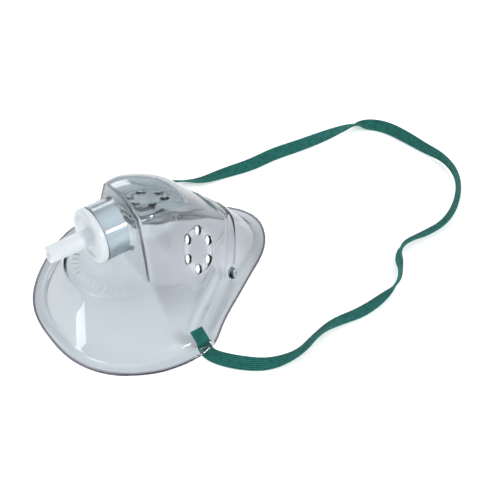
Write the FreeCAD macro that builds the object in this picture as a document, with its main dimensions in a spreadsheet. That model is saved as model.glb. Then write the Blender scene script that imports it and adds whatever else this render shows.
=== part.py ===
import FreeCAD, Part
import math
import os
import Sketcher
from FreeCAD import Placement, Rotation, Vector

# A simple oxygen face mask. It rests on its rim: the chin points to -X, the nose to +X, up is +Z.
# The origin is on the resting plane, midway between the chin and nose ends of the rim.

os.makedirs("parts", exist_ok=True)
doc = FreeCAD.newDocument("oxygen_mask")

SIZES = {
    # clear shell
    "wall": 1.4,
    "rim_thick": 1.6,
    "rim_lift": 7.5,
    "shelf_level": 27.0,
    "front_wall": -18.5,
    "port_level": 49.5,
    "port_length": 14.0,
    "port_outside": 26.6,
    "port_bore": 23.4,
    "vent_hole": 4.3,
    "vent_circle": 18.2,
    "stud_diameter": 4.0,
    "stud_height": 2.4,
    "slot_length": 8.2,
    "slot_width": 2.6,
    "slot_x": -6.0,
    "slot_y": 50.2,
    "boss_length": 5.0,
    "boss_width": 3.2,
    "boss_height": 2.0,
    # connector
    "plug_gap": 0.05,
    "plug_length": 12.0,
    "disc_diameter": 27.0,
    "disc_thick": 3.4,
    "stem_outside": 8.0,
    "stem_bore": 4.6,
    "stem_length": 20.4,
    # head strap
    "strap_width": 6.8,
    "strap_thick": 0.9,
}

sheet = doc.addObject("Spreadsheet::Sheet", "Sizes")
for row, (alias, value) in enumerate(SIZES.items(), start=1):
    sheet.set(f"A{row}", alias)
    sheet.set(f"B{row}", str(value))
    sheet.setAlias(f"B{row}", alias)
doc.recompute()

# Half outlines seen from above, from the chin end to the nose end.
RIM_EDGE = (
    (-62.8, 0), (-61, 17), (-53, 32), (-40, 43.5), (-26, 50.5), (-14, 54), (-3, 53.3),
    (8, 46), (25, 35.5), (40, 27), (51, 20.5), (59.3, 11.5), (62.8, 0),
)
WALL_FOOT = (
    (-58, 0), (-56.3, 16), (-49.5, 29), (-37.5, 39), (-25, 45), (-14, 47.8), (-4, 47.2),
    (8, 40.5), (22, 32.3), (37, 25.5), (50, 19.7), (61, 11.5), (65.5, 0),
)
SHELF_EDGE = (
    (-46.8, 0), (-43, 12.8), (-34.7, 21.3), (-25, 24.6), (-18.5, 25.6), (-11, 29.5), (-2, 32),
    (8, 28.3), (18, 22.8), (28, 17.2), (36, 12), (41, 6.5), (42, 0),
)

# Nose section, at stations from the front wall to the nose.
# Each row: x, half width at the shelf, half width and height of the waist, of the ridge, and crown height.
NOSE_STATIONS = (
    (-18.5, 23.2, 19.6, 46.0, 15.2, 61.0, 66.0),
    (-10.0, 30.4, 24.4, 44.0, 17.0, 60.0, 66.8),
    (-2.0, 33.0, 25.2, 41.0, 16.4, 55.6, 66.0),
    (8.0, 29.3, 22.1, 37.0, 14.9, 49.0, 61.5),
    (18.0, 23.8, 18.6, 34.0, 13.4, 42.5, 51.5),
    (28.0, 18.0, 14.9, 31.0, 12.0, 36.0, 40.0),
    (36.0, 12.6, 11.4, 28.5, 9.6, 31.0, 32.0),
    (41.0, 7.2, 6.4, 26.5, 5.4, 27.4, 27.8),
)
STATION_FLOOR = 25.0

# Where the crown's arch passes between ridge and top: shares of the ridge's half width and of the rise.
ARCH_OUT = 0.62
ARCH_UP = 0.79

# The walls slope, so the hollow's outlines move in by a little more than the wall.
OUTLINE_INSET = 1.2
STATION_INSET = 1.1
NOSE_END_INSET = 1.5

# Height of the rim along the mask, as shares of the rim's lift, from beyond one end to beyond the other.
BEYOND = 72.0
RIM_RISE = ((-BEYOND, 0), (-40, 0.05), (-6, 0.19), (20, 0.38), (45, 0.69), (BEYOND, 1.14))
BELOW = 20.0

# The side panels: a point, how far they converge to the nose and how far they lean in.
PANEL_POINT = Vector(9.8, 22.6, 34.6)
PANEL_CONVERGE = 28.0
PANEL_LEAN = 30.8
VENT_TURN = 40.0
STUD_POINT = Vector(28.7, 25.2, 9.4)
BOSS_POINT = Vector(-13.6, 48.6, 2.0)
CUT_REACH = 4.0

# The strap's threaded ends, seen along X: distance out from the middle and height.
# The band runs in under the tab, up through the slot and in over the tab to its cut end.
STRAP_THREAD = (
    (56.2, 0.55), (51.4, 0.55), (50.3, 1.6), (50.0, 4.4), (48.6, 5.6), (43.7, 7.5),
)

# The strap's free loop as it lies on the table, from the far tab round to the near tab.
STRAP_LEVEL = 3.5
STRAP_ROUTE = (
    (-6, 58.3), (0.5, 61.8), (12, 62.2), (26, 60), (39, 56.5), (50, 50.5), (60, 46.4), (74, 45.2),
    (90, 41.2), (105, 41), (122, 38.2), (140, 36.2), (157, 35.4), (168.5, 33), (174.8, 24), (177.8, 10.5),
    (179.6, -3.5), (183.2, -17), (178.5, -32.5), (165.5, -45.5), (149.5, -53.8), (134, -54),
    (119.5, -52.8), (108.3, -60.8), (99.5, -72.2), (85.5, -75.4), (70.5, -76.1), (56, -74),
    (42, -75.9), (28.5, -80), (14, -76.6), (2.5, -69.5), (-5.6, -58.3),
)

NEAR, FAR = -1, 1


def size(alias):
    return float(sheet.get(alias))


def new_body(name, label):
    body = doc.addObject("PartDesign::Body", name)
    body.Label = label
    return body


def base_plane(body, role):
    return next(item for item in body.Origin.OriginFeatures if item.Role == role)


def new_sketch(body, name, role, offset=Placement()):
    sketch = body.newObject("Sketcher::SketchObject", name)
    sketch.AttachmentSupport = [(base_plane(body, role), "")]
    sketch.MapMode = "FlatFace"
    sketch.AttachmentOffset = offset
    return sketch


def mirrored(half):
    return [(x, -y) for x, y in half]


def smooth_curve(points, start=None, end=None):
    curve = Part.BSplineCurve()
    vectors = [Vector(x, y, 0) for x, y in points]
    if start is None:
        curve.interpolate(Points=vectors)
    else:
        curve.interpolate(Points=vectors, InitialTangent=start, FinalTangent=end)
    return curve


def inset(points, distance):
    """Move an open run of points to the right of its direction."""
    moved = []
    last = len(points) - 1
    for index, (x, y) in enumerate(points):
        before = points[max(index - 1, 0)]
        after = points[min(index + 1, last)]
        along_x = after[0] - before[0]
        along_y = after[1] - before[1]
        length = math.hypot(along_x, along_y)
        moved.append((x + distance * along_y / length, y - distance * along_x / length))
    return moved


def inset_outline(half, distance):
    """Shrink a half outline; its two ends stay on the plane of symmetry."""
    moved = inset(half, distance)
    moved[0] = (half[0][0] + distance, 0)
    moved[-1] = (half[-1][0] - distance, 0)
    return moved


def outline_sketch(body, name, half, level):
    """A closed outline, symmetric about the XZ plane, at the given level."""
    sketch = new_sketch(body, name, "XY_Plane", Placement(Vector(0, 0, level), Rotation()))
    for side in (half, mirrored(half)):
        way = Vector(0, math.copysign(1, side[1][1]), 0)
        sketch.addGeometry(smooth_curve(side, way, -way), False)
    return sketch


def station_points(station, distance=0):
    """Half section of the nose section in (y, z), from the shelf to the crown."""
    _, shelf, waist, waist_up, ridge, ridge_up, crown = station
    rise = crown - ridge_up
    half = [
        (shelf, STATION_FLOOR),
        (waist, waist_up),
        (ridge, ridge_up),
        (ARCH_OUT * ridge, ridge_up + ARCH_UP * rise),
        (0, crown),
    ]
    if distance:
        half = inset(half, -distance)
        half[0] = (half[0][0], STATION_FLOOR)
        half[-1] = (0, crown - distance)
    return half


def station_sketch(body, name, station, distance=0, shift=0):
    x = station[0] + shift
    half = station_points(station, distance)
    arch = half + [(-y, z) for y, z in reversed(half[:-1])]
    sketch = new_sketch(body, name, "YZ_Plane", Placement(Vector(0, 0, x), Rotation()))
    sketch.addGeometry(smooth_curve(arch), False)
    ends = [Vector(y, z, 0) for y, z in (arch[-1], arch[0])]
    sketch.addGeometry(Part.LineSegment(*ends), False)
    return sketch


def add_loft(body, kind, name, sketches):
    loft = body.newObject(f"PartDesign::{kind}Loft", name)
    loft.Profile = sketches[0]
    loft.Sections = sketches[1:]
    return loft


def circle_sketch(body, name, role, offset, alias, centres=((0, 0),)):
    """Circles whose diameters are all one cell of the sheet."""
    sketch = new_sketch(body, name, role, offset)
    for index, (x, y) in enumerate(centres):
        sketch.addGeometry(Part.Circle(Vector(x, y, 0), Vector(0, 0, 1), size(alias) / 2), False)
        sketch.addConstraint(Sketcher.Constraint("Diameter", index, size(alias)))
        sketch.setExpression(f"Constraints[{index}]", f"Sizes.{alias}")
    return sketch


def polygon(sketch, corners):
    for start, end in zip(corners, corners[1:] + corners[:1]):
        sketch.addGeometry(Part.LineSegment(Vector(*start, 0), Vector(*end, 0)), False)


def rectangle_sketch(body, name, centre, long_alias, short_alias):
    half_x = size(long_alias) / 2
    half_y = size(short_alias) / 2
    sketch = new_sketch(body, name, "XY_Plane", Placement(centre, Rotation()))
    polygon(sketch, [(-half_x, -half_y), (half_x, -half_y), (half_x, half_y), (-half_x, half_y)])
    return sketch


def pad(body, name, sketch, length, reverse=False, both=False):
    feature = body.newObject("PartDesign::Pad", name)
    feature.Profile = sketch
    feature.Reversed = reverse
    feature.Midplane = both
    set_length(feature, length)
    return feature


def pocket(body, name, sketch, length, reverse=False, both=False):
    feature = body.newObject("PartDesign::Pocket", name)
    feature.Profile = sketch
    feature.Reversed = reverse
    feature.Midplane = both
    set_length(feature, length)
    return feature


def set_length(feature, length):
    if isinstance(length, str):
        feature.setExpression("Length", length)
    else:
        feature.Length = length


def panel_frame(side, point, outward=0.0):
    """Placement whose Z is the side panel's outward normal and whose X runs to the nose."""
    converge = math.radians(PANEL_CONVERGE)
    lean = math.radians(PANEL_LEAN)
    along = Vector(math.cos(converge), -side * math.sin(converge), 0)
    upward = Vector(0, -side * math.sin(lean), math.cos(lean))
    normal = along.cross(upward)
    if side == FAR:
        normal = -normal
    normal.normalize()
    across = normal.cross(along)
    turn = Rotation(along, across, normal, "ZXY")
    place = Vector(point.x, side * point.y, point.z)
    return Placement(place + normal * outward, turn)


def side_profile(body, name, points, stations):
    """A closed side view: a smooth curve through points, closed by straight lines."""
    sketch = new_sketch(body, name, "XZ_Plane")
    sketch.addGeometry(smooth_curve(points), False)
    corners = [points[-1], *stations, points[0]]
    for start, end in zip(corners, corners[1:]):
        sketch.addGeometry(Part.LineSegment(Vector(*start, 0), Vector(*end, 0)), False)
    return sketch


def rim_curve(height):
    """The rim touches the table under the chin and rises in one long curve to the nose."""
    lift = size("rim_lift")
    return [(x, height + share * lift) for x, share in RIM_RISE]


def make_shell():
    body = new_body("MaskShell", "mask_shell")
    wall = size("wall")
    rim_thick = size("rim_thick")
    blank = 2 * (size("rim_lift") + rim_thick)

    rim = outline_sketch(body, "RimEdge", RIM_EDGE, 0)
    pad(body, "RimPlate", rim, blank)
    corners = [(BEYOND, 2 * blank), (-BEYOND, 2 * blank)]
    over_rim = side_profile(body, "OverRim", rim_curve(rim_thick), corners)
    pocket(body, "RimTop", over_rim, 2 * BEYOND, both=True)

    foot = outline_sketch(body, "WallFoot", WALL_FOOT, 0)
    shelf = outline_sketch(body, "ShelfEdge", SHELF_EDGE, size("shelf_level"))
    shelf.setExpression("AttachmentOffset.Base.z", "Sizes.shelf_level")
    add_loft(body, "Additive", "LowerOuter", [foot, shelf])

    outer = [station_sketch(body, f"Outer{i}", row) for i, row in enumerate(NOSE_STATIONS)]
    add_loft(body, "Additive", "NoseOuter", outer)
    make_port(body)
    for side, word in ((NEAR, "Near"), (FAR, "Far")):
        make_stud(body, side, word)
        make_boss(body, side, word)

    inner_foot = outline_sketch(body, "FootInside", inset_outline(WALL_FOOT, OUTLINE_INSET * wall), -0.5)
    inner_shelf = outline_sketch(body, "ShelfInside", inset_outline(SHELF_EDGE, OUTLINE_INSET * wall), 0)
    inner_shelf.setExpression("AttachmentOffset.Base.z", "Sizes.shelf_level - Sizes.wall")
    add_loft(body, "Subtractive", "LowerInner", [inner_foot, inner_shelf])
    shifts = [wall] + [0] * (len(NOSE_STATIONS) - 2) + [-NOSE_END_INSET * wall]
    inner = [
        station_sketch(body, f"Inner{i}", row, STATION_INSET * wall, shift)
        for i, (row, shift) in enumerate(zip(NOSE_STATIONS, shifts))
    ]
    add_loft(body, "Subtractive", "NoseInner", inner)

    under_rim = side_profile(body, "UnderRim", rim_curve(0), [(BEYOND, -BELOW), (-BEYOND, -BELOW)])
    pocket(body, "RimUnder", under_rim, 2 * BEYOND, both=True)
    bore_port(body)
    for side, word in ((NEAR, "Near"), (FAR, "Far")):
        cut_vents(body, side, word)
        cut_slot(body, side, word)
    return body


def port_place(shift=0.0):
    return Placement(Vector(0, size("port_level"), size("front_wall") + shift), Rotation())


def make_port(body):
    """The neck stands out of the front wall towards the chin."""
    circle = circle_sketch(body, "PortCircle", "YZ_Plane", port_place(size("wall") / 2), "port_outside")
    circle.setExpression("AttachmentOffset.Base.y", "Sizes.port_level")
    pad(body, "PortNeck", circle, "Sizes.port_length + Sizes.wall / 2", reverse=True)


def bore_port(body):
    circle = circle_sketch(body, "PortHole", "YZ_Plane", port_place(2 * size("wall")), "port_bore")
    circle.setExpression("AttachmentOffset.Base.y", "Sizes.port_level")
    pocket(body, "PortBore", circle, "Sizes.port_length + 4 * Sizes.wall")


def make_stud(body, side, word):
    """A post at each end of the nose clip's recess."""
    place = panel_frame(side, STUD_POINT, -size("wall"))
    circle = circle_sketch(body, f"Stud{word}", "XY_Plane", place, "stud_diameter")
    pad(body, f"StudPost{word}", circle, "Sizes.stud_height + Sizes.wall")


def cut_vents(body, side, word):
    """Six holes on a circle."""
    radius = size("vent_circle") / 2
    angles = [math.radians(60 * step + 90 + side * VENT_TURN) for step in range(6)]
    centres = [(radius * math.cos(angle), radius * math.sin(angle)) for angle in angles]
    place = panel_frame(side, PANEL_POINT, CUT_REACH)
    circles = circle_sketch(body, f"Vents{word}", "XY_Plane", place, "vent_hole", centres)
    pocket(body, f"VentHoles{word}", circles, 2 * CUT_REACH)


def cut_slot(body, side, word):
    """The strap's slot in the ear tab."""
    centre = Vector(size("slot_x"), side * size("slot_y"), CUT_REACH)
    sketch = rectangle_sketch(body, f"Slot{word}", centre, "slot_length", "slot_width")
    pocket(body, f"StrapSlot{word}", sketch, 2 * CUT_REACH)


def make_boss(body, side, word):
    """A low block on the tab beside the slot."""
    place = Vector(BOSS_POINT.x, side * BOSS_POINT.y, BOSS_POINT.z)
    sketch = rectangle_sketch(body, f"Boss{word}", place, "boss_length", "boss_width")
    pad(body, f"TabBoss{word}", sketch, "Sizes.boss_height")


def make_connector():
    """Plug, disc flange and hollow stem, all round the port's axis."""
    body = new_body("SwivelConnector", "swivel_connector")
    plug = size("port_bore") / 2 - size("plug_gap")
    disc = size("disc_diameter") / 2
    stem = size("stem_outside") / 2
    bore = size("stem_bore") / 2
    lip = 1.6
    web = 1.4
    dish = 1.0
    edge = 0.8
    back = size("front_wall") - size("port_length") - 2 * size("plug_gap")
    front = back - size("disc_thick")
    tip = front - size("stem_length")
    inside = back + size("plug_length")
    outline = [
        (tip, bore), (tip, stem - edge), (tip + edge, stem), (front + dish, stem),
        (front + dish, disc - 4 * edge), (front, disc - 3 * edge), (front, disc - edge), (front + edge, disc),
        (back - edge, disc), (back, disc - edge), (back, plug),
        (inside - edge, plug), (inside, plug - edge), (inside, plug - lip),
        (back + web, plug - lip), (back + web, bore),
    ]
    sketch = new_sketch(body, "Profile", "XZ_Plane", Placement(Vector(0, size("port_level"), 0), Rotation()))
    sketch.setExpression("AttachmentOffset.Base.y", "Sizes.port_level")
    polygon(sketch, outline)
    turned = body.newObject("PartDesign::Revolution", "Turned")
    turned.Profile = sketch
    turned.ReferenceAxis = (sketch, ["H_Axis"])
    turned.Angle = 360
    return body


def make_strap_end(side, word):
    """The flat band where it is threaded through an ear tab, with its short cut end."""
    body = new_body(f"StrapEnd{word}", f"strap_end_{word.lower()}")
    half = size("strap_thick") / 2
    edges = [inset(STRAP_THREAD, half), inset(STRAP_THREAD, -half)[::-1]]
    outline = [(side * out, up) for edge in edges for out, up in edge]
    start = size("slot_x") - size("strap_width") / 2
    sketch = new_sketch(body, "Band", "YZ_Plane", Placement(Vector(0, 0, start), Rotation()))
    sketch.setExpression("AttachmentOffset.Base.z", "Sizes.slot_x - Sizes.strap_width / 2")
    polygon(sketch, outline)
    pad(body, "BandPad", sketch, "Sizes.strap_width")
    return body


def rounded_route(points):
    """Straight runs joined by arcs that are as large as the two runs beside them allow."""
    edges = []
    radii = []
    here = points[0]
    for before, corner, after in zip(points, points[1:], points[2:]):
        arriving = (corner - before).normalize()
        leaving = (after - corner).normalize()
        turn = arriving.getAngle(leaving)
        reach = 0.45 * min((corner - before).Length, (after - corner).Length)
        radius = reach / math.tan(turn / 2)
        start = corner - arriving * reach
        end = corner + leaving * reach
        inward = (leaving - arriving).normalize()
        middle = corner + inward * (radius / math.cos(turn / 2) - radius)
        edges.append(Part.LineSegment(here, start).toShape())
        edges.append(Part.Arc(start, middle, end).toShape())
        radii.append(round(radius, 1))
        here = end
    edges.append(Part.LineSegment(here, points[-1]).toShape())
    return Part.Wire(edges), radii


def make_head_strap():
    """The strap's free loop, as a plain round solid as thick as the band is wide."""
    points = [Vector(x, y, STRAP_LEVEL) for x, y in STRAP_ROUTE]
    wire, radii = rounded_route(points)
    radius = size("strap_width") / 2
    circle = Part.Circle(points[0], points[1] - points[0], radius)
    solid = wire.makePipeShell([Part.Wire([circle.toShape()])], True, False)
    strap = doc.addObject("Part::Feature", "HeadStrap")
    strap.Label = "head_strap"
    strap.Shape = solid
    section = math.pi * radius ** 2
    print("strap length", round(wire.Length, 1), "least radius", min(radii), "radii", radii)
    print("strap volume over section times length", round(solid.Volume / (section * wire.Length), 4))
    return strap


sub_parts = [make_shell(), make_connector()]
sub_parts += [make_strap_end(side, word) for side, word in ((NEAR, "Near"), (FAR, "Far"))]
sub_parts.append(make_head_strap())
doc.recompute()

for item in doc.Objects:
    bad = [word for word in item.State if word in ("Invalid", "Error")]
    if bad:
        raise RuntimeError(f"{item.Name} is {bad}")
for part in sub_parts:
    if part.Shape.isNull() or not part.Shape.isValid():
        raise RuntimeError(f"{part.Label} has no valid shape")
for part in sub_parts:
    part.Shape.exportStep(f"parts/{part.Label}.step")
    box = part.Shape.BoundBox
    print(part.Label, "solids", len(part.Shape.Solids), "volume", round(part.Shape.Volume),
          "x", round(box.XMin, 1), round(box.XMax, 1), "y", round(box.YMin, 1), round(box.YMax, 1),
          "z", round(box.ZMin, 1), round(box.ZMax, 1))
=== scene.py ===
import math

import bmesh
import bpy
import numpy as np
from mathutils import Matrix, Vector


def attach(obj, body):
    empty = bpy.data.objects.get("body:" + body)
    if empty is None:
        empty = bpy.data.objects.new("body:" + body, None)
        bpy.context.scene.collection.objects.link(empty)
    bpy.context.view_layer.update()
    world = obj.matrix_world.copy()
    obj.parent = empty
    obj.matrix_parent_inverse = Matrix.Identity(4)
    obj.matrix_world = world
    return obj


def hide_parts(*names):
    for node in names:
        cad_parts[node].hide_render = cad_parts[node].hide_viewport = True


# A simple oxygen face mask resting on its rim: chin to -X, nose to +X, up is +Z.
# Shapes are worked out in millimetres and scaled to metres when they become pieces.

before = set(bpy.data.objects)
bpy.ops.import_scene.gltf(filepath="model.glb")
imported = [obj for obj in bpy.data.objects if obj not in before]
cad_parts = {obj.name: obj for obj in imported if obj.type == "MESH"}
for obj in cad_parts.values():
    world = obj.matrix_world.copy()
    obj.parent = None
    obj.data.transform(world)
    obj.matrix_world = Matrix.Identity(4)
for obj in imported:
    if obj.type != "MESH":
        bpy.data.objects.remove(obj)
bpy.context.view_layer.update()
MM = 0.001

# ---------------------------------------------------------------- camera

CAMERA_PLACE = Vector((-196.4, -314.7, 398.2)) * MM
CAMERA_AZIMUTH = math.radians(-39.1)
CAMERA_ELEVATION = math.radians(45.4)
CAMERA_ROLL = math.radians(3.56)
CAMERA_LENS = 77.8


def make_camera():
    """A camera that looks down along the mask from the chin's near side."""
    ground = math.cos(CAMERA_ELEVATION)
    back = Vector((
        math.sin(CAMERA_AZIMUTH) * ground,
        -math.cos(CAMERA_AZIMUTH) * ground,
        math.sin(CAMERA_ELEVATION),
    ))
    level = Vector((0, 0, 1)).cross(back).normalized()
    right = Matrix.Rotation(CAMERA_ROLL, 3, back) @ level
    up = back.cross(right)
    camera = bpy.data.objects.new("camera", bpy.data.cameras.new("camera"))
    facing = Matrix((right, up, back)).transposed().to_4x4()
    camera.matrix_world = Matrix.Translation(CAMERA_PLACE) @ facing
    camera.data.lens = CAMERA_LENS
    bpy.context.scene.collection.objects.link(camera)
    bpy.context.scene.camera = camera


make_camera()

# ---------------------------------------------------------------- plain helpers


def add_object(name, points, faces):
    """A mesh object from points in millimetres, still in millimetres."""
    mesh = bpy.data.meshes.new(name)
    mesh.from_pydata([tuple(point) for point in points], [], faces)
    mesh.validate()
    thing = bpy.data.objects.new(name, mesh)
    bpy.context.scene.collection.objects.link(thing)
    return thing


def bake_modifiers(thing):
    """Give the object the mesh that its modifiers make."""
    depsgraph = bpy.context.evaluated_depsgraph_get()
    mesh = bpy.data.meshes.new_from_object(thing.evaluated_get(depsgraph))
    old = thing.data
    thing.modifiers.clear()
    thing.data = mesh
    bpy.data.meshes.remove(old)


def joined(name, things):
    """One object that holds the meshes of all the things."""
    whole = bmesh.new()
    for thing in things:
        whole.from_mesh(thing.data)
        bpy.data.objects.remove(thing)
    mesh = bpy.data.meshes.new(name)
    whole.to_mesh(mesh)
    whole.free()
    result = bpy.data.objects.new(name, mesh)
    bpy.context.scene.collection.objects.link(result)
    return result


def remesh(thing, voxel):
    """Fuse everything in the object into one even skin."""
    modifier = thing.modifiers.new("Fuse", "REMESH")
    modifier.mode = "VOXEL"
    modifier.voxel_size = voxel
    bake_modifiers(thing)


def soften(thing, rounds):
    """Smooth the mesh over that many rounds."""
    modifier = thing.modifiers.new("Soften", "SMOOTH")
    modifier.factor = 0.5
    modifier.iterations = rounds
    bake_modifiers(thing)


def cut(thing, tool, operation="DIFFERENCE"):
    """Boolean with a tool, which is used up."""
    modifier = thing.modifiers.new("Cut", "BOOLEAN")
    modifier.operation = operation
    modifier.solver = "MANIFOLD"
    modifier.object = tool
    bake_modifiers(thing)
    bpy.data.objects.remove(tool)


def finished(thing, name, body):
    """Scale a millimetre object to metres, shade it smooth and let it ride on its body."""
    thing.name = name
    thing.data.name = name
    thing.data.transform(Matrix.Scale(MM, 4))
    thing.data.shade_smooth()
    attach(thing, body)
    return thing


def cubic_through(points, per_step, start=None, end=None):
    """Points along a cubic spline through the given points, the same number on each step."""
    points = np.asarray(points, float)
    steps = np.linalg.norm(np.diff(points, axis=0), axis=1)
    slopes = np.diff(points, axis=0) / steps[:, None]
    last = len(points) - 1
    system = np.eye(last + 1)
    target = np.zeros_like(points)
    for i in range(1, last):
        system[i, i - 1 : i + 2] = steps[i - 1], 2 * (steps[i - 1] + steps[i]), steps[i]
        target[i] = 6 * (slopes[i] - slopes[i - 1])
    if start is not None:
        system[0, :2] = 2 * steps[0], steps[0]
        target[0] = 6 * (slopes[0] - np.asarray(start, float))
        system[last, last - 1 :] = steps[-1], 2 * steps[-1]
        target[last] = 6 * (np.asarray(end, float) - slopes[-1])
    bends = np.linalg.solve(system, target)
    line = []
    for i, step in enumerate(steps):
        for after in np.arange(per_step) / per_step:
            before = 1 - after
            bend = (before**3 - before) * bends[i] + (after**3 - after) * bends[i + 1]
            line.append(before * points[i] + after * points[i + 1] + bend * step * step / 6)
    line.append(points[-1])
    return np.array(line)


def half_line(half, per_step=8):
    """A smooth half outline that leaves and meets the middle plane squarely."""
    return cubic_through(half, per_step, start=(0, 1), end=(0, -1))


def ring_faces(rows, ring, closed=False):
    """Faces that join each ring of points to the next, and the last to the first if closed."""
    faces = []
    for row in range(rows if closed else rows - 1):
        here = row * ring
        after = (row + 1) % rows * ring
        for i in range(ring):
            j = (i + 1) % ring
            faces.append((here + i, here + j, after + j, after + i))
    return faces


def fix_normals(thing, weld=0):
    """Turn every face outward, after merging points that are nearer than weld."""
    shape = bmesh.new()
    shape.from_mesh(thing.data)
    if weld:
        bmesh.ops.remove_doubles(shape, verts=shape.verts, dist=weld)
    bmesh.ops.recalc_face_normals(shape, faces=shape.faces)
    shape.to_mesh(thing.data)
    shape.free()


def slab(name, levels):
    """A closed solid through symmetric half outlines, given as rows of (x, y, z) from the lowest up."""
    levels = [np.asarray(level, float) for level in levels]
    count = len(levels[0])
    mirror = np.array((1, -1, 1))
    points = []
    for level in levels:
        points += list(level) + list((level * mirror)[1:-1][::-1])
    ring = 2 * count - 2
    faces = ring_faces(len(levels), ring)
    for base in (0, (len(levels) - 1) * ring):
        for i in range(count - 1):
            corners = [base + k for k in (i, i + 1, (ring - i - 1) % ring, (ring - i) % ring)]
            face = list(dict.fromkeys(corners))
            faces.append(tuple(face))
    thing = add_object(name, points, faces)
    fix_normals(thing)
    return thing


def turned(name, profile, place, steps):
    """A solid turned about its own axis, from a closed profile of (along, radius)."""
    points = []
    for angle in np.arange(steps) * 2 * math.pi / steps:
        for along, radius in profile:
            points.append(place @ Vector((radius * math.cos(angle), radius * math.sin(angle), along)))
    thing = add_object(name, points, ring_faces(steps, len(profile), closed=True))
    fix_normals(thing, weld=0.001)
    return thing


def rod(name, place, radius, low, high, steps=48):
    """A plain round rod from low to high along Z."""
    return turned(name, [(low, 0), (low, radius), (high, radius), (high, 0)], place, steps)


def block(name, place, half_x, half_y, low, high):
    """A plain box from low to high along Z."""
    corners = [(-half_x, -half_y), (half_x, -half_y), (half_x, half_y), (-half_x, half_y)]
    points = [place @ Vector((x, y, z)) for z in (low, high) for x, y in corners]
    faces = [(3, 2, 1, 0), (4, 5, 6, 7)]
    faces += [(i, (i + 1) % 4, (i + 1) % 4 + 4, i + 4) for i in range(4)]
    return add_object(name, points, faces)


# ---------------------------------------------------------------- head strap

STRAP_WIDTH = 6.8
STRAP_THICK = 0.85

# The band inside each ear tab, from its cut end to where it leaves: distance from the middle, height.
STRAP_THREAD = ((43.7, 7.5), (48.6, 5.6), (50.0, 4.4), (50.3, 1.6), (51.4, 0.6))
STRAP_THREAD_X = -6

# The free loop on the table from the far tab to the near tab: x, y and how far the band is rolled over.
STRAP_ROUTE = (
    (-6, 58.3, -15), (0.5, 61.8, -45), (12, 62.2, -50), (26, 60, -50), (39, 56.5, -50),
    (50, 50.5, -45), (60, 46.4, -15), (74, 45.2, 10), (90, 41.2, 30), (105, 41, 45),
    (122, 38.2, 55), (140, 36.2, 75), (157, 35.4, 115), (168.5, 33, 205), (174.8, 24, 225),
    (177.8, 10.5, 240), (179.6, -3.5, 260), (183.2, -17, 280), (178.5, -32.5, 270),
    (165.5, -45.5, 245), (149.5, -53.8, 220), (134, -54, 205), (119.5, -52.8, 225),
    (108.3, -60.8, 325), (99.5, -72.2, 275), (85.5, -75.4, 205), (70.5, -76.1, 185),
    (56, -74, 195), (42, -75.9, 230), (28.5, -80, 215), (14, -76.6, 175), (2.5, -69.5, 150),
    (-5.6, -58.3, 165),
)
# Height of the middle of the band where it lies flat.
STRAP_REST = 0.55
# A band that stands on edge is lifted by this share of its width.
STRAP_LIFT = 0.6
STRAP_RIBS = 7
RIB_STEPS = 4
RIB_HEIGHT = 0.05


def strap_controls():
    """Control points of the whole strap, and beside each the direction of the band's width."""
    points = [Vector((STRAP_THREAD_X, y, z)) for y, z in STRAP_THREAD]
    rolls = [0] * len(points)
    for x, y, roll in STRAP_ROUTE:
        lift = abs(math.sin(math.radians(roll))) * STRAP_WIDTH * STRAP_LIFT
        points.append(Vector((x, y, STRAP_REST + lift)))
        rolls.append(roll)
    points += [Vector((STRAP_THREAD_X, -y, z)) for y, z in reversed(STRAP_THREAD)]
    rolls += [180] * len(STRAP_THREAD)
    widths = []
    last = len(points) - 1
    for i, roll in enumerate(rolls):
        along = points[min(i + 1, last)] - points[max(i - 1, 0)]
        along.z = 0
        along.normalize()
        beside = Vector((-along.y, along.x, 0))
        angle = math.radians(roll)
        widths.append(beside * math.cos(angle) + Vector((0, 0, 1)) * math.sin(angle))
    return points, widths


def spline_points(name, controls):
    """Points along a smooth spline with these control points."""
    curve = bpy.data.curves.new(name, "CURVE")
    curve.dimensions = "3D"
    spline = curve.splines.new("NURBS")
    spline.points.add(len(controls) - 1)
    for point, place in zip(spline.points, controls):
        point.co = (*place, 1)
    spline.order_u = 3
    spline.use_endpoint_u = True
    spline.resolution_u = 14
    holder = bpy.data.objects.new(name, curve)
    bpy.context.scene.collection.objects.link(holder)
    line = bpy.data.meshes.new_from_object(holder)
    points = np.array([vertex.co for vertex in line.vertices])
    bpy.data.objects.remove(holder)
    bpy.data.curves.remove(curve)
    bpy.data.meshes.remove(line)
    return points


def band_section():
    """Outline of the flat band: ribbed faces and rounded edges, as (across, through)."""
    round_edge = STRAP_THICK / 2
    half = STRAP_WIDTH / 2 - round_edge
    count = STRAP_RIBS * RIB_STEPS
    across = np.linspace(-half, half, count + 1)
    rib = RIB_HEIGHT * np.cos(np.linspace(0, 2 * math.pi * STRAP_RIBS, count + 1))
    face = [(a, round_edge + r) for a, r in zip(across, rib)]
    edge_angles = np.radians((60, 30, 0, -30, -60))
    edge = [(half + round_edge * math.cos(t), round_edge * math.sin(t)) for t in edge_angles]
    upper = face + edge
    return upper + [(-a, -r) for a, r in upper]


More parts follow.
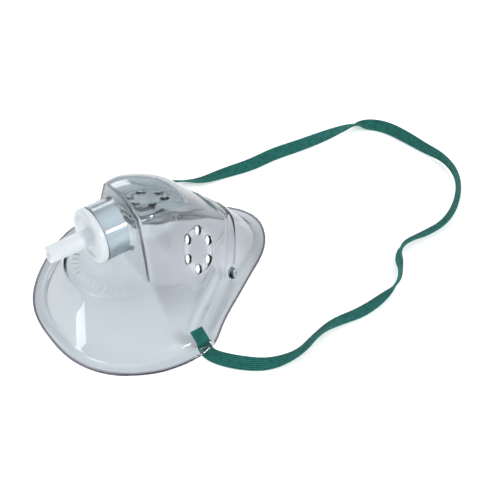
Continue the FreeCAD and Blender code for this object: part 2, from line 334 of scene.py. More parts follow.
def make_strap():
    """The flat elastic, swept along the route as one band from slot to slot."""
    controls, widths = strap_controls()
    line = spline_points("strap_line", controls)
    beside = spline_points("strap_side", [c + w for c, w in zip(controls, widths)]) - line
    along = np.gradient(line, axis=0)
    along /= np.linalg.norm(along, axis=1)[:, None]
    beside -= along * np.sum(along * beside, axis=1)[:, None]
    beside /= np.linalg.norm(beside, axis=1)[:, None]
    through = np.cross(along, beside)
    section = band_section()
    count = len(section)
    points = []
    for place, side, out in zip(line, beside, through):
        points += [place + side * a + out * t for a, t in section]
    rows = len(line)
    faces = ring_faces(rows, count)
    faces.append(tuple(range(count)))
    faces.append(tuple(range((rows - 1) * count, rows * count)))
    strap = add_object("elastic_strap", points, faces)
    fix_normals(strap)
    lengths = np.concatenate([[0], np.cumsum(np.linalg.norm(np.diff(line, axis=0), axis=1))])
    strap_map(strap, lengths, section, count)
    finished(strap, "elastic_strap", "mask")
    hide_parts("head_strap", "strap_end_near", "strap_end_far")
    print("strap length", round(float(lengths[-1]), 1))
    return strap


def strap_map(strap, lengths, section, count):
    """A map that runs across the band in U and along it in V, both in millimetres."""
    layer = strap.data.uv_layers.new(name="band")
    for loop in strap.data.loops:
        row, i = divmod(loop.vertex_index, count)
        layer.data[loop.index].uv = (section[i][0], lengths[row])


strap = make_strap()

# ---------------------------------------------------------------- clear shell

WALL = 1.5
RIM_THICK = 1.6
RIM_LIFT = 7.5
SHELF_LEVEL = 27.0
FRONT_WALL = -18.5
PORT_LEVEL = 49.5
PORT_END = -32.5
PORT_RADIUS = 13.3
# Grid sizes for fusing the shell: of its outside, and of the whole wall with its openings.
COARSE = 0.55
FINE = 0.4
# Rounds of smoothing: for the soft corners of the outside, and for the finished wall.
CORNER_ROUNDS = 14
WALL_ROUNDS = 3

# Half outlines seen from above, from chin to nose: x and distance from the middle.
RIM_EDGE = (
    (-62.8, 0), (-61, 17), (-53, 32.4), (-40.5, 43.8), (-26.5, 51.3), (-14, 54.2), (-3, 53.3),
    (8, 46), (25, 35.5), (40, 27), (51, 20.5), (59.3, 11.5), (62.8, 0),
)
WALL_FOOT = (
    (-59, 0), (-57.2, 16.2), (-50.2, 29.9), (-38.4, 40.4), (-25.6, 46.6), (-14, 48.6), (-4, 47.2),
    (8, 40.5), (22, 32.3), (37, 25.5), (50, 19.7), (61, 11.5), (65.5, 0),
)
SHELF_EDGE = (
    (-46.8, 0), (-43, 12.8), (-34.7, 21.3), (-25, 24.6), (-18.5, 25.6), (-11, 29.5), (-2, 32),
    (8, 28.3), (18, 22.8), (28, 17.2), (36, 12), (41, 6.5), (42, 0),
)
# Stations of the nose section: x, half width at the shelf, waist half width and height,
# ridge half width and height, crown height.
NOSE_STATIONS = (
    (-18.5, 23.2, 19.6, 46.0, 15.2, 61.0, 66.0),
    (-10.0, 30.4, 24.4, 44.0, 17.0, 60.0, 66.8),
    (-2.0, 33.0, 25.2, 41.0, 16.4, 55.6, 66.0),
    (8.0, 29.3, 22.1, 37.0, 14.9, 49.0, 61.5),
    (18.0, 23.8, 18.6, 34.0, 13.4, 42.5, 51.5),
    (28.0, 18.0, 14.9, 31.0, 12.0, 36.0, 40.0),
    (36.0, 12.6, 11.4, 28.5, 9.6, 31.0, 32.0),
    (41.0, 7.2, 6.4, 26.5, 5.4, 27.4, 27.8),
)
STATION_FLOOR = 25.0
# The most that the chin's rim has sagged to the near side.
CHIN_LEAN = 4.2
# The rim curves up from the table: x and share of the whole lift.
RIM_RISE = ((-72, 0), (-40, 0.05), (-6, 0.19), (20, 0.38), (45, 0.69), (72, 1.14))

# A side panel: the middle of its vents, its two angles and how near to it a place counts as on it.
PANEL_POINT = Vector((9.8, 22.6, 34.6))
PANEL_CONVERGE = math.radians(28.0)
PANEL_LEAN = math.radians(30.8)
PANEL_REACH = 6
VENT_COUNT = 6
VENT_TURN = 40.0
VENT_RADIUS = 2.15
VENT_CIRCLE = 9.1
VENT_RING = 11.2
VENT_RING_HEIGHT = 0.2
VENT_RING_SPREAD = 0.45
STUD_POINT = Vector((28.7, 25.2, 9.4))
# Profile of the posts at the ends of the clip channel: height, radius.
STUD_PROFILE = (
    (-1.2, 0), (-1.2, 3.0), (0.4, 2.9), (1.2, 2.5), (1.7, 2.0), (1.7, 1.5), (1.3, 0.8), (1.2, 0),
)
SLOT_PLACE = Vector((-6, 50.2, 0))
SLOT_HALF_LENGTH = 4.1
SLOT_HALF_WIDTH = 1.3
# How far each way the tool that cuts a vent reaches through the panel.
VENT_CUT = 8

# Soft folds on the cheeks, seen from above: x and distance from the middle.
CHEEK_FOLDS = (
    ((27, 27.5), (18, 34), (9, 40), (1, 45)),
    ((22, 26.5), (13, 33), (4, 39), (-4, 43.5)),
    ((16, 27), (7, 33), (-2, 38), (-9, 42)),
)
FOLD_HEIGHT = 0.75
FOLD_SPREAD = 1.4

# The channel over the nose: its start at table level, and how far that moves to the nose as it rises.
RECESS_START = 14.8
RECESS_LENGTH = 9.8
RECESS_SLOPE = 0.6
RECESS_DEPTH = 0.3
RECESS_FADE = 0.1
RECESS_FOOT = (10.5, 13.5)

# Low bumps round each ear slot: height, x, spread along, distance from the middle, spread across.
EAR_BUMPS = (
    (0.9, -6, 5, 52.4, 1.1),
    (0.6, -13.6, 2.4, 49.4, 0.8),
)

# The bead round the shelf's edge and the short ribs on the shelf, which stand every few degrees.
BEAD_HEIGHT = 0.35
BEAD_SPREAD = 0.9
BEAD_START = (-45, -36)
BEAD_END = (-8, -2)
TICK_CENTRE = -22
TICK_ANGLE = 9
TICK_SWEEP = 76
TICK_INNER = (17.6, 18.2)
TICK_OUTER = (20.8, 21.4)
TICK_HEIGHT = 0.45
TICK_SPREAD = 0.4

# Shares of tint on the shell, where 0 is clear, 0.5 is a plain wall and 1 is the dark painted shade at the
# rim's edge. The nose and near side carry painted shade; the crown, vents and studs carry painted light.
WALL_TINT = 0.5
RIM_EDGE_PAINTED_SHADE = 0.5
NOSE_PAINTED_SHADE = 0.02
NEAR_SIDE_PAINTED_SHADE = 0.13
CROWN_PAINTED_LIGHT = -0.33
RECESS_TINT = -0.45
VENT_PAINTED_LIGHT = 0.25
VENT_PAINTED_LIGHT_SPREAD = 2.2
STUD_TINT_UNDER_PAINTED_LIGHT = 0.4
STUD_FADE = (3, 5)
# Where each tint fades in: along the mask, up it, or away from its middle or its rim.
NOSE_FADE = (-19, -15)
WALL_FADE = (8, 25)
CROWN_FADE = (50, 58)
LOBE_FADE = (35, 50)
NEAR_FADE = (-12, 12)
EDGE_FADE = (0.5, 1.3)
EAR_END_FADE = (4, 5.5)
EAR_SIDE_FADE = (50.5, 51.5)
CHIN_LEAN_FADE = (5, 58)

NEAR, FAR = -1, 1
RIM_LINE = cubic_through(RIM_RISE, 12)


def rim_under(x):
    """Height of the rim's underside along the mask."""
    return np.interp(x, RIM_LINE[:, 0], RIM_LINE[:, 1]) * RIM_LIFT


def at_level(line, level):
    """The line's points at one height, or each at its own."""
    return np.column_stack([line, np.broadcast_to(level, len(line))])


def panel_frame(side, point):
    """Matrix whose Z is a side panel's outward normal and whose X runs to the nose."""
    along = Vector((math.cos(PANEL_CONVERGE), -side * math.sin(PANEL_CONVERGE), 0))
    upward = Vector((0, -side * math.sin(PANEL_LEAN), math.cos(PANEL_LEAN)))
    normal = (along.cross(upward) * -side).normalized()
    across = normal.cross(along)
    turn = Matrix((along, across, normal)).transposed().to_4x4()
    return Matrix.Translation(Vector((point.x, side * point.y, point.z))) @ turn


def lower_body():
    """The flaring wall from the table up to the shelf, carried on below the table."""
    foot = half_line(WALL_FOOT)
    shelf = half_line(SHELF_EDGE)
    middle = (foot + shelf) / 2
    below = 0.3
    flare = foot + (foot - shelf) * below
    return slab("lower", [
        at_level(flare, -below * SHELF_LEVEL),
        at_level(foot, 0),
        at_level(middle, SHELF_LEVEL / 2),
        at_level(shelf, SHELF_LEVEL),
    ])


def station_arch(station):
    """Half section of the nose section, as (y, z) from the shelf to the crown."""
    _, shelf, waist, waist_up, ridge, ridge_up, crown = station
    panel = cubic_through([(shelf, STATION_FLOOR), (waist, waist_up), (ridge, ridge_up)], 6)
    angles = np.radians(np.arange(10, 91, 10))
    crown_line = [(ridge * math.cos(a), ridge_up + (crown - ridge_up) * math.sin(a)) for a in angles]
    crown_line[-1] = (0, crown)
    return np.vstack([panel, crown_line])


def nose_body():
    """The upright front wall and the crown that falls from it to the nose."""
    arches = np.array([station_arch(row) for row in NOSE_STATIONS])
    x = np.array([row[0] for row in NOSE_STATIONS])
    rows = []
    for i in range(arches.shape[1]):
        track = np.column_stack([x, arches[:, i]])
        rows.append(cubic_through(track, 6))
    grid = np.array(rows).transpose(1, 0, 2)
    half = grid.shape[1]
    points = []
    for section in grid:
        points += [(px, py, pz) for px, py, pz in section]
        points += [(px, -py, pz) for px, py, pz in section[:-1][::-1]]
    ring = 2 * half - 1
    faces = ring_faces(len(grid), ring)
    faces.append(tuple(range(ring)))
    faces.append(tuple(range((len(grid) - 1) * ring, len(grid) * ring)))
    thing = add_object("nose", points, faces)
    fix_normals(thing)
    return thing


def rim_block():
    """A thick plate, wider than the rim, whose top is the rim's top."""
    edge = half_line(RIM_EDGE)
    out = np.gradient(edge, axis=0)
    out = np.column_stack([-out[:, 1], out[:, 0]]) / np.linalg.norm(out, axis=1)[:, None]
    margin = 5
    depth = 14
    wide = edge + margin * out
    wide[[0, -1], 1] = 0
    top = rim_under(wide[:, 0]) + RIM_THICK
    return slab("rim", [at_level(wide, -depth), at_level(wide, top)])


def port_matrix():
    """Matrix whose Z runs out of the port towards the chin."""
    turn = Matrix.Rotation(math.radians(-90), 4, "Y")
    return Matrix.Translation(Vector((0, 0, PORT_LEVEL))) @ turn


def outer_skin():
    """The outside of the shell as one open sheet, with soft moulded corners."""
    port = port_matrix()
    overlap = 3
    spare = 4
    neck = rod("neck", port, PORT_RADIUS, -FRONT_WALL - overlap, -PORT_END + spare, 128)
    skin = joined("skin", [lower_body(), nose_body(), rim_block(), neck])
    remesh(skin, COARSE)
    soften(skin, CORNER_ROUNDS)
    edge = half_line(RIM_EDGE)
    cut(skin, slab("rim_tool", [at_level(edge, -30), at_level(edge, 100)]), "INTERSECT")
    cut(skin, rod("mouth", port, 1.2 * PORT_RADIUS, -PORT_END, -PORT_END + 20))
    open_up(skin)
    return skin


def open_up(skin):
    """Remove the cut faces: below the rim, round its edge and over the port's mouth."""
    shape = bmesh.new()
    shape.from_mesh(skin.data)
    shape.normal_update()
    gone = []
    for face in shape.faces:
        middle = face.calc_center_median()
        low = middle.z < rim_under(middle.x) + RIM_THICK + 0.4
        upright = abs(face.normal.z) < 0.2
        downward = face.normal.z < -0.5
        over_mouth = face.normal.x < -0.99 and middle.x < PORT_END + 0.01
        if (low and (upright or downward)) or over_mouth:
            gone.append(face)
    bmesh.ops.delete(shape, geom=gone, context="FACES")
    shape.to_mesh(skin.data)
    shape.free()


def openings(side):
    """Tools that cut one side's six vents and ear slot."""
    panel = panel_frame(side, PANEL_POINT)
    tools = []
    for step in range(VENT_COUNT):
        angle = math.radians(360 / VENT_COUNT * step + 90 + side * VENT_TURN)
        centre = Vector((VENT_CIRCLE * math.cos(angle), VENT_CIRCLE * math.sin(angle), 0))
        tools.append(rod("vent", panel @ Matrix.Translation(centre), VENT_RADIUS, -VENT_CUT, VENT_CUT))
    slot = Matrix.Translation(Vector((SLOT_PLACE.x, side * SLOT_PLACE.y, 0)))
    tools.append(block("slot", slot, SLOT_HALF_LENGTH, SLOT_HALF_WIDTH, -5, 12))
    return tools


def make_shell():
    """The whole clear moulding: wall, openings, studs and relief."""
    shell = outer_skin()
    modifier = shell.modifiers.new("Wall", "SOLIDIFY")
    modifier.thickness = WALL
    modifier.offset = -1
    bake_modifiers(shell)
    cut(shell, joined("tools", openings(NEAR) + openings(FAR)))
    studs = [turned("stud", STUD_PROFILE, panel_frame(side, STUD_POINT), 40) for side in (NEAR, FAR)]
    shell = joined("shell", [shell] + studs)
    remesh(shell, FINE)
    soften(shell, WALL_ROUNDS)
    relief(shell)
    finished(shell, "clear_shell", "mask")
    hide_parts("mask_shell")
    return shell


def paint(thing, name, shares):
    """Store one share from 0 to 1 on each vertex, for the materials to use."""
    layer = thing.data.attributes.new(name, "FLOAT", "POINT")
    layer.data.foreach_set("value", np.asarray(shares, np.float32))


def bump(distance, spread):
    """A smooth bump: 1 at no distance, fading over the spread."""
    return np.exp(-((distance / spread) ** 2))


def smooth_step(value, low, high):
    """0 below low, 1 above high and smooth between."""
    part = np.clip((value - low) / (high - low), 0, 1)
    return part * part * (3 - 2 * part)


def relief(shell):
    """Raise and sink the moulding on the outside of the shell, tint it with painted light and shade, and
    let the chin sag.
    """
    mesh = shell.data
    count = len(mesh.vertices)
    places = np.zeros(count * 3)
    normals = np.zeros(count * 3)
    mesh.vertices.foreach_get("co", places)
    mesh.vertices.foreach_get("normal", normals)
    places = places.reshape(-1, 3)
    normals = normals.reshape(-1, 3)
    recess = clip_recess(places, normals)
    height = vent_rings(places, normals) + recess
    height += shelf_ticks(places, normals)
    height += cheek_folds(places, normals)
    height += shelf_bead(places)
    height += ear_bars(places, normals)
    paint(shell, "tint", shell_tint_and_painted_light(places, recess))
    places += normals * height[:, None]
    places[:, 1] -= chin_lean(places)
    mesh.vertices.foreach_set("co", places.ravel())
    mesh.update()


def on_panel(side, places):
    """Places as a side panel sees them: along it, across it and out from it."""
    panel = np.array(panel_frame(side, PANEL_POINT).inverted())
    return places @ panel[:3, :3].T + panel[:3, 3]


def vent_rings(places, normals):
    """The thin raised ring round the vents of each side panel."""
    height = np.zeros(len(places))
    for side in (NEAR, FAR):
        outward = np.array(panel_frame(side, PANEL_POINT).inverted())[2, :3]
        local = on_panel(side, places)
        outside = (normals @ outward > 0.5) & (np.abs(local[:, 2]) < PANEL_REACH)
        radius = np.hypot(local[:, 0], local[:, 1])
        height += outside * VENT_RING_HEIGHT * bump(radius - VENT_RING, VENT_RING_SPREAD)
    return height


def tint_kept_under_painted_light(places):
    """Share of the tint that is kept: painted light clears the wall round the vents, and most at the studs.
    """
    share = np.ones(len(places))
    for side in (NEAR, FAR):
        local = on_panel(side, places)
        radius = np.hypot(local[:, 0], local[:, 1])
        near_vents = (np.abs(local[:, 2]) < PANEL_REACH) * bump(radius - VENT_CIRCLE, VENT_PAINTED_LIGHT_SPREAD)
        share *= 1 - VENT_PAINTED_LIGHT * near_vents
        stud = places - np.array((STUD_POINT.x, side * STUD_POINT.y, STUD_POINT.z))
        away = smooth_step(np.linalg.norm(stud, axis=1), *STUD_FADE)
        share *= STUD_TINT_UNDER_PAINTED_LIGHT + (1 - STUD_TINT_UNDER_PAINTED_LIGHT) * away
    return share


def shell_tint_and_painted_light(places, recess):
    """How smoky each place looks: the plain wall and the clearer clip channel, with painted shade on the
    rim's edge, the nose and its near side, and painted light on the crown, round the vents and studs, by
    the ear slots and in the neck.
    """
    x, y, z = places.T
    low = z < rim_under(x) + 2 * WALL
    # Painted shade: a dark band along the rim's cut edge, where the clear wall only looks dark.
    edge = low * (1 - smooth_step(distance_from_line(places, half_line(RIM_EDGE)), *EDGE_FADE))
    # Painted light: the neck is painted clear so that the plug seen through it looks brighter.
    neck_foot = PORT_LEVEL - PORT_RADIUS
    neck = 1 - smooth_step(x, FRONT_WALL - 2.5, FRONT_WALL - 1)
    neck *= smooth_step(z, neck_foot - 4, neck_foot - 2)
    # Painted light: the wall by each ear slot is painted clear, as a glare over the band under it.
    ear_painted_glare = 1 - smooth_step(np.abs(x - SLOT_PLACE.x), *EAR_END_FADE)
    ear_painted_glare *= smooth_step(np.abs(y), *EAR_SIDE_FADE)
    raised = smooth_step(z, *WALL_FADE)
    nose = smooth_step(x, *NOSE_FADE) * raised
    # Painted light: the crown is painted clearer than the rest of the nose section.
    crown = smooth_step(z, *CROWN_FADE)
    lobe = smooth_step(x, *LOBE_FADE) * (1 - raised)
    # Painted shade: the nose section and lobe are painted darker, most on the near side.
    near = smooth_step(-y, *NEAR_FADE)
    wall = WALL_TINT + (NOSE_PAINTED_SHADE + NEAR_SIDE_PAINTED_SHADE * near) * (nose + lobe)
    wall += CROWN_PAINTED_LIGHT * nose * crown + RECESS_TINT * recess
    tint = wall * tint_kept_under_painted_light(places) + RIM_EDGE_PAINTED_SHADE * edge - WALL_TINT * neck
    return np.clip(tint * (1 - low * ear_painted_glare), 0, 1)


def chin_lean(places):
    """How far the soft chin wall has sagged toward the near side: most at the rim, none at the shelf."""
    height_share = 1 - np.clip(places[:, 2] / SHELF_LEVEL, 0, 1)
    return CHIN_LEAN * height_share * smooth_step(-places[:, 0], *CHIN_LEAN_FADE)


def clip_recess(places, normals):
    """The shallow channel over the nose where a metal clip would lie."""
    x, y, z = places.T
    along = (x - RECESS_SLOPE * z - RECESS_START) / RECESS_LENGTH
    outward = normals[:, 0] * 0.5 + normals[:, 2] * 0.6 + normals[:, 1] * np.sign(y) * 0.6
    inside = smooth_step(along, -RECESS_FADE, RECESS_FADE)
    inside *= 1 - smooth_step(along, 1 - RECESS_FADE, 1 + RECESS_FADE)
    return -RECESS_DEPTH * inside * smooth_step(z, *RECESS_FOOT) * (outward > 0.3)


def distance_from_line(places, line):
    """How far each place is, seen from above, from a line given for one side."""
    seen = np.column_stack([places[:, 0], np.abs(places[:, 1])])
    nearest = np.full(len(places), np.inf)
    for start, end in zip(line, line[1:]):
        run = end - start
        share = np.clip((seen - start) @ run / (run @ run), 0, 1)
        nearest = np.minimum(nearest, np.linalg.norm(seen - start - share[:, None] * run, axis=1))
    return nearest


def cheek_folds(places, normals):
    """Soft folds that run from the clip's post down to the ear tab."""
    height = np.zeros(len(places))
    for fold in CHEEK_FOLDS:
        away = distance_from_line(places, cubic_through(fold, 6))
        height += FOLD_HEIGHT * bump(away, FOLD_SPREAD)
    return height * (normals[:, 2] > 0.1) * (places[:, 2] < STATION_FLOOR)


def ear_bars(places, normals):
    """The rounded bar outside each ear slot, and the short rib beside the slot."""
    x = places[:, 0]
    y = np.abs(places[:, 1])
    low = (normals[:, 2] > 0.2) & (places[:, 2] < 9)
    height = np.zeros(len(places))
    for tall, middle, length, across, width in EAR_BUMPS:
        height += tall * bump(x - middle, length) * bump(y - across, width)
    return low * height


def shelf_bead(places):
    """A low rounded bead that makes the edge of the chin shelf crisp."""
    x, _, z = places.T
    away = distance_from_line(places, half_line(SHELF_EDGE))
    level = smooth_step(z, SHELF_LEVEL - 3, SHELF_LEVEL - 1.5) * (z < SHELF_LEVEL + 1)
    stretch = smooth_step(x, *BEAD_START) * (1 - smooth_step(x, *BEAD_END))
    return BEAD_HEIGHT * level * stretch * bump(away, BEAD_SPREAD)


def shelf_ticks(places, normals):
    """Plain short ribs round the front of the shelf."""
    x, y, z = places.T
    angle = np.degrees(np.arctan2(y, TICK_CENTRE - x))
    radius = np.hypot(x - TICK_CENTRE, y)
    nearest = np.round(angle / TICK_ANGLE) * TICK_ANGLE
    off = np.radians(angle - nearest) * radius
    inside = smooth_step(radius, *TICK_INNER) * (1 - smooth_step(radius, *TICK_OUTER))
    on_shelf = (normals[:, 2] > 0.8) & (np.abs(z - SHELF_LEVEL) < 1.2) & (np.abs(angle) < TICK_SWEEP)
    return TICK_HEIGHT * on_shelf * inside * bump(off, TICK_SPREAD)


shell = make_shell()

# ---------------------------------------------------------------- swivel connector

CONNECTOR_BACK = PORT_END - 0.1
DISC_RADIUS = 13.5
DISC_THICK = 3.4
DISC_ROUNDING = 1.5
PLUG_LENGTH = 12
PLUG_RADIUS = 11.65
STEM_LENGTH = 20.4


def disc_rim(back, front):
    """Rounded rim of the disc, from its back to its front, as (along, radius)."""
    rim = [(back, DISC_RADIUS - 0.5), (back + 0.15, DISC_RADIUS - 0.15), (back + 0.5, DISC_RADIUS)]
    for angle in np.radians(np.arange(0, 91, 15)):
        along = front - DISC_ROUNDING + DISC_ROUNDING * math.sin(angle)
        rim.append((along, DISC_RADIUS - DISC_ROUNDING + DISC_ROUNDING * math.cos(angle)))
    return rim


def connector_profile(back, front, tip):
    """Closed outline of the connector as (along, radius): plug, disc, dished face, stem and bore."""
    inside = back - PLUG_LENGTH
    dish = front - 1.4
    plug = [(inside + 0.3, 10.2), (inside, 10.5), (inside, 11.2), (inside + 0.5, 11.6), (back, PLUG_RADIUS)]
    face = [
        (front - 0.1, 11.4), (front - 0.5, 10.8), (front - 1.1, 10.4), (dish, 9.7),
        (dish, 6.5), (dish, 5.0), (front - 1.1, 4.5), (front - 0.5, 4.3),
    ]
    stem = [
        (front + 1.6, 4.2), (tip - 1.2, 4.0), (tip - 0.5, 3.85), (tip - 0.1, 3.45), (tip, 3.0),
        (tip - 0.1, 2.5), (tip - 0.5, 2.15), (tip - 1.2, 2.05),
    ]
    hollow = [(back + 1.2, 2.0), (back + 0.8, 2.6), (back + 0.8, 9.6), (back + 0.3, 10.2)]
    return plug + disc_rim(back, front) + face + stem + hollow


def make_connector():
    """Hollow plug, dished disc with a rounded rim, and a tapered hollow stem."""
    back = -CONNECTOR_BACK
    front = back + DISC_THICK
    tip = front + STEM_LENGTH
    connector = turned("connector", connector_profile(back, front, tip), port_matrix(), 128)
    to_port = port_matrix().inverted()
    places = np.array([to_port @ vertex.co for vertex in connector.data.vertices])
    # Painted light: the plug inside the neck and the stem's bore are painted paler than the rest.
    bore_painted_light = 1 - smooth_step(np.hypot(places[:, 0], places[:, 1]), 2.2, 2.8)
    plug = 1 - smooth_step(places[:, 2], back - 0.2, back + 0.4)
    paint(connector, "plug", np.maximum(bore_painted_light, plug))
    finished(connector, "stem_connector", "connector")
    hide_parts("swivel_connector")
    return connector


connector = make_connector()

# ---------------------------------------------------------------- materials


def new_material(name):
    """A material with a Principled shader, its nodes and a way to link them."""
    material = bpy.data.materials.new(name)
    material.use_nodes = True
    nodes = material.node_tree.nodes
    return material, nodes, material.node_tree.links, nodes["Principled BSDF"]


def add_node(nodes, kind, **values):
    """A new node with its sockets, or its settings, set by name."""
    node = nodes.new(kind)
    for name, value in values.items():
        if name in node.inputs:
            node.inputs[name].default_value = value
        else:
            setattr(node, name, value)
    return node


def colour_between(nodes, links, shader, attribute, plain, full, middle=None):
    """Colour that runs from plain to full, through middle if given, with a share painted on the mesh."""
    share = nodes.new("ShaderNodeAttribute")
    share.attribute_name = attribute
    ramp = nodes.new("ShaderNodeValToRGB")
    ramp.color_ramp.elements[0].color = plain
    ramp.color_ramp.elements[1].color = full
    if middle:
        ramp.color_ramp.elements.new(0.5).color = middle
    links.new(share.outputs["Fac"], ramp.inputs["Fac"])
    links.new(ramp.outputs["Color"], shader.inputs["Base Color"])


def uneven_gloss(nodes, links, shader, pattern, low, high):
    """Roughness that wanders from low to high with the pattern."""
    gloss = nodes.new("ShaderNodeMapRange")
    gloss.inputs["To Min"].default_value = low
    gloss.inputs["To Max"].default_value = high
    links.new(pattern, gloss.inputs["Value"])
    links.new(gloss.outputs["Result"], shader.inputs["Roughness"])


def fine_relief(nodes, links, shader, pattern, strength, distance):
    """Bumps too fine to be geometry, raised where the pattern is bright."""
    raised = nodes.new("ShaderNodeBump")
    raised.inputs["Strength"].default_value = strength
    raised.inputs["Distance"].default_value = distance
    links.new(pattern, raised.inputs["Height"])
    links.new(raised.outputs["Normal"], shader.inputs["Normal"])


def clear_plastic():
    """Soft clear vinyl: slightly smoky, with painted light and shade carried by the tint share, faint flow
    marks and a changing gloss.
    """
    material, nodes, links, shader = new_material("clear_vinyl")
    # The ramp runs from clear, used as painted light, through the smoky wall to the dark painted shade of
    # the rim's edge.
    clear = (0.86, 0.94, 0.98, 1)
    smoky = (0.70, 0.74, 0.757, 1)
    painted_edge_shade = (0.16, 0.14, 0.2, 1)
    colour_between(nodes, links, shader, "tint", clear, painted_edge_shade, middle=smoky)
    shader.inputs["Transmission Weight"].default_value = 1.0
    shader.inputs["IOR"].default_value = 1.5
    place = nodes.new("ShaderNodeTexCoord")
    haze = add_node(nodes, "ShaderNodeTexNoise", Scale=60.0, Detail=3.0)
    links.new(place.outputs["Object"], haze.inputs["Vector"])
    uneven_gloss(nodes, links, shader, haze.outputs["Fac"], 0.03, 0.08)
    flow = add_node(nodes, "ShaderNodeTexNoise", Scale=140.0, Detail=2.0)
    links.new(place.outputs["Object"], flow.inputs["Vector"])
    fine_relief(nodes, links, shader, flow.outputs["Fac"], 0.05, 0.001)
    see_through(nodes, links, shader, (0.85, 0.86, 0.87, 1))
    smoke = add_node(nodes, "ShaderNodeVolumeAbsorption", Color=(0.42, 0.45, 0.48, 1), Density=300.0)
    links.new(smoke.outputs["Volume"], nodes["Material Output"].inputs["Volume"])
    return material


def see_through(nodes, links, shader, tint):
    """Let lamps shine through, so that the table under the clear wall stays bright."""
    rays = nodes.new("ShaderNodeLightPath")
    passing = nodes.new("ShaderNodeBsdfTransparent")
    passing.inputs["Color"].default_value = tint
    mix = nodes.new("ShaderNodeMixShader")
    links.new(rays.outputs["Is Shadow Ray"], mix.inputs["Fac"])
    links.new(shader.outputs["BSDF"], mix.inputs[1])
    links.new(passing.outputs["BSDF"], mix.inputs[2])
    links.new(mix.outputs["Shader"], nodes["Material Output"].inputs["Surface"])


def white_plastic():
    """Milky moulded plastic that lets some light in, painted paler on the plug and in the bore as painted
    light.
    """
    material, nodes, links, shader = new_material("milky_plastic")
    milky = (0.80, 0.87, 0.915, 1)
    pale_painted_light = (0.96, 0.97, 0.98, 1)
    colour_between(nodes, links, shader, "plug", milky, pale_painted_light)
    shader.inputs["Subsurface Weight"].default_value = 0.35
    shader.inputs["Subsurface Radius"].default_value = (0.9, 1.0, 1.1)
    shader.inputs["Subsurface Scale"].default_value = 0.004
    shader.inputs["Transmission Weight"].default_value = 0.1
    shader.inputs["IOR"].default_value = 1.5
    place = nodes.new("ShaderNodeTexCoord")
    haze = add_node(nodes, "ShaderNodeTexNoise", Scale=300.0, Detail=4.0)
    links.new(place.outputs["Object"], haze.inputs["Vector"])
    uneven_gloss(nodes, links, shader, haze.outputs["Fac"], 0.24, 0.36)
    fine_relief(nodes, links, shader, haze.outputs["Fac"], 0.06, 0.0005)
    return material


def green_elastic():
    """Knitted elastic: lengthwise ribs, fine cross threads and uneven dye."""
    material, nodes, links, shader = new_material("green_elastic")
    shader.inputs["Roughness"].default_value = 0.75
    shader.inputs["Specular IOR Level"].default_value = 0.2
    shader.inputs["Sheen Weight"].default_value = 0.06
    shader.inputs["Sheen Roughness"].default_value = 0.5
    place = add_node(nodes, "ShaderNodeUVMap", uv_map="band")
    ribs = add_node(nodes, "ShaderNodeTexWave", Scale=0.33, bands_direction="X")
    threads = add_node(nodes, "ShaderNodeTexWave", Scale=0.8, bands_direction="Y")
    dye = add_node(nodes, "ShaderNodeTexNoise", Scale=0.4, Detail=4.0)
    for pattern in (ribs, threads, dye):
        links.new(place.outputs["UV"], pattern.inputs["Vector"])
    weave = nodes.new("ShaderNodeMath")
    weave.operation = "MULTIPLY_ADD"
    weave.inputs[1].default_value = 0.5
    links.new(threads.outputs["Fac"], weave.inputs[0])
    links.new(ribs.outputs["Fac"], weave.inputs[2])
    fine_relief(nodes, links, shader, weave.outputs["Value"], 0.5, 0.0002)
    shade = nodes.new("ShaderNodeMath")
    shade.operation = "MULTIPLY_ADD"
    shade.inputs[1].default_value = 0.5
    links.new(weave.outputs["Value"], shade.inputs[0])
    links.new(dye.outputs["Fac"], shade.inputs[2])
    colours = nodes.new("ShaderNodeValToRGB")
    colours.color_ramp.elements[0].position = 0.45
    colours.color_ramp.elements[0].color = (0.003, 0.032, 0.027, 1)
    colours.color_ramp.elements[1].position = 1.0
    colours.color_ramp.elements[1].color = (0.018, 0.175, 0.152, 1)
    links.new(shade.outputs["Value"], colours.inputs["Fac"])
    links.new(colours.outputs["Color"], shader.inputs["Base Color"])
    return material


shell.data.materials.append(clear_plastic())
connector.data.materials.append(white_plastic())
strap.data.materials.append(green_elastic())

# ---------------------------------------------------------------- floor and light


FLOOR_HALF = 3000
FLOOR_GLOW = 0.42
WORLD_LIGHT = 0.3
WORLD_SEEN = 1.0
LAMP_AIM = (0, 0, 0.03)


def make_floor():
    """A plain white table that gives a little light of its own."""
    corners = ((-1, -1), (1, -1), (1, 1), (-1, 1))
    points = [(FLOOR_HALF * x, FLOOR_HALF * y, 0) for x, y in corners]
    floor = add_object("floor", points, [(0, 1, 2, 3)])
    floor.data.transform(Matrix.Scale(MM, 4))
    material, _, _, shader = new_material("white_table")
    shader.inputs["Base Color"].default_value = (0.95, 0.95, 0.95, 1)
    shader.inputs["Roughness"].default_value = 0.9
    shader.inputs["Specular IOR Level"].default_value = 0.1
    shader.inputs["Emission Color"].default_value = (1, 1, 1, 1)
    shader.inputs["Emission Strength"].default_value = FLOOR_GLOW
    floor.data.materials.append(material)


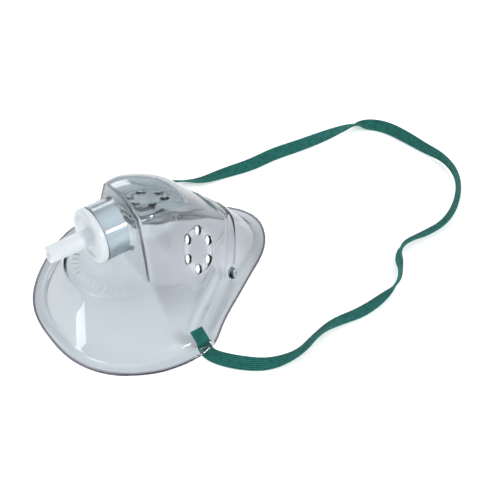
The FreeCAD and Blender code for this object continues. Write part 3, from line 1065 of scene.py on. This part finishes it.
def make_world():
    """A pale studio that looks brighter than the light it gives."""
    world = bpy.data.worlds.new("studio")
    bpy.context.scene.world = world
    world.use_nodes = True
    nodes = world.node_tree.nodes
    links = world.node_tree.links
    background = nodes["Background"]
    background.inputs["Color"].default_value = (0.98, 0.99, 1.0, 1)
    rays = nodes.new("ShaderNodeLightPath")
    strength = nodes.new("ShaderNodeMapRange")
    strength.inputs["To Min"].default_value = WORLD_LIGHT
    strength.inputs["To Max"].default_value = WORLD_SEEN
    links.new(rays.outputs["Is Camera Ray"], strength.inputs["Value"])
    links.new(strength.outputs["Result"], background.inputs["Strength"])


def toward(azimuth, elevation, distance):
    """A place that far from the origin, in degrees round from +X and up from the table."""
    around = math.radians(azimuth)
    rise = math.radians(elevation)
    ground = distance * math.cos(rise)
    return (ground * math.cos(around), ground * math.sin(around), distance * math.sin(rise))


def add_lamp(name, place, aim, power, width, height):
    """A rectangular lamp at a place, turned to its aim; metres and watts."""
    lamp = bpy.data.lights.new(name, "AREA")
    lamp.shape = "RECTANGLE"
    lamp.size = width
    lamp.size_y = height
    lamp.energy = power
    holder = bpy.data.objects.new(name, lamp)
    holder.location = place
    holder.rotation_euler = (Vector(place) - Vector(aim)).to_track_quat("Z", "Y").to_euler()
    bpy.context.scene.collection.objects.link(holder)
    return holder


def add_chin_card():
    """A small near card, seen only as the upright streak that it leaves on the chin."""
    card = add_lamp(
        "chin_card",
        place=(-0.109, -0.0076, 0.0125),
        aim=(-0.05, -0.013, 0.0125),
        power=0.008,
        width=0.021,
        height=0.018,
    )
    card.rotation_euler.rotate_axis("Z", math.radians(45))
    card.visible_camera = False
    card.visible_transmission = False


def make_lamps():
    """A broad lamp overhead, a small hard key, a fill from the chin side and a back light."""
    add_lamp("over", (0.05, 0.1, 1.6), (0.05, 0, 0), power=6.5, width=1.6, height=1.6)
    add_lamp("key", toward(-66, 35, 1.0), LAMP_AIM, power=4, width=0.14, height=0.14)
    add_lamp("fill", toward(172, 58, 0.9), LAMP_AIM, power=1.8, width=0.3, height=0.3)
    add_chin_card()
    add_lamp("back", toward(80, 30, 1.1), LAMP_AIM, power=2, width=0.5, height=0.3)


bpy.context.scene.view_settings.view_transform = "Standard"
make_floor()
make_world()
make_lamps()
